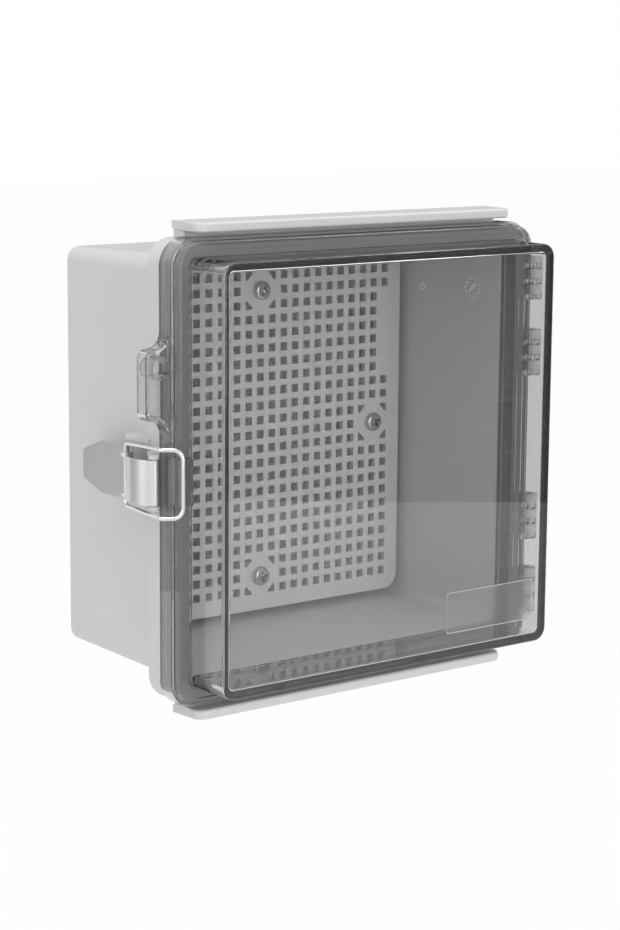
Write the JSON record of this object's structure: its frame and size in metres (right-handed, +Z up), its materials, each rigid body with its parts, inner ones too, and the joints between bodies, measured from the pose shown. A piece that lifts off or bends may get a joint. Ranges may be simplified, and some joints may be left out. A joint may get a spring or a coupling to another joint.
{
  "type": "hinged junction box",
  "caption": "Wall-mounted square junction box with a hinged clear door, drip lips, a draw latch, padlock ears and a perforated mounting panel inside.",
  "frame": {"origin": "middle of the body's back face, on the wall", "axes": "+Z up, +X towards the hinges, +Y into the wall, so the door faces -Y"},
  "size_m": [0.23, 0.1285, 0.2208],
  "materials": {
    "body_plastic": "satin light grey moulding",
    "panel_plastic": "matte mid grey moulding",
    "screw_steel": "zinc-plated steel",
    "door_clear": "clear smoke-tinted polycarbonate",
    "gasket_rubber": "soft matte grey seal",
    "latch_steel": "pressed stainless sheet",
    "latch_wire": "polished stainless wire"
  },
  "bodies": {
    "enclosure": {"enclosure_body": "body_plastic", "mounting_panel": "panel_plastic", "panel_screw_top": "screw_steel", "panel_screw_right": "screw_steel", "panel_screw_bottom": "screw_steel", "panel_screw_left": "screw_steel", "hinge_pin_1": "screw_steel", "hinge_pin_2": "screw_steel", "hinge_pin_3": "screw_steel", "hinge_pin_4": "screw_steel", "latch_pin": "latch_steel"},
    "door": {"door": "door_clear", "door_gasket": "gasket_rubber"},
    "latch_lever": {"latch_lever": "latch_steel"},
    "latch_bail": {"latch_bail": "latch_wire"}
  },
  "joints": [
    {"name": "door_hinge", "type": "hinge", "parent": "enclosure", "child": "door", "pos_m": [0.11, -0.0985, 0], "axis": [0, 0, 1], "range_deg": [0, 150]},
    {"name": "lever_pivot", "type": "hinge", "parent": "enclosure", "child": "latch_lever", "pos_m": [-0.1076, -0.0928, -0.0023], "axis": [0, 0, 1], "range_deg": [-4, 95]},
    {"name": "bail_pivot", "type": "hinge", "parent": "latch_lever", "child": "latch_bail", "pos_m": [-0.1062, -0.0685, -0.0023], "axis": [0, 0, 1], "range_deg": [-190, 8]}
  ],
  "couplings": [
    {"joint": "bail_pivot", "follows": "lever_pivot", "ratio": -2}
  ]
}
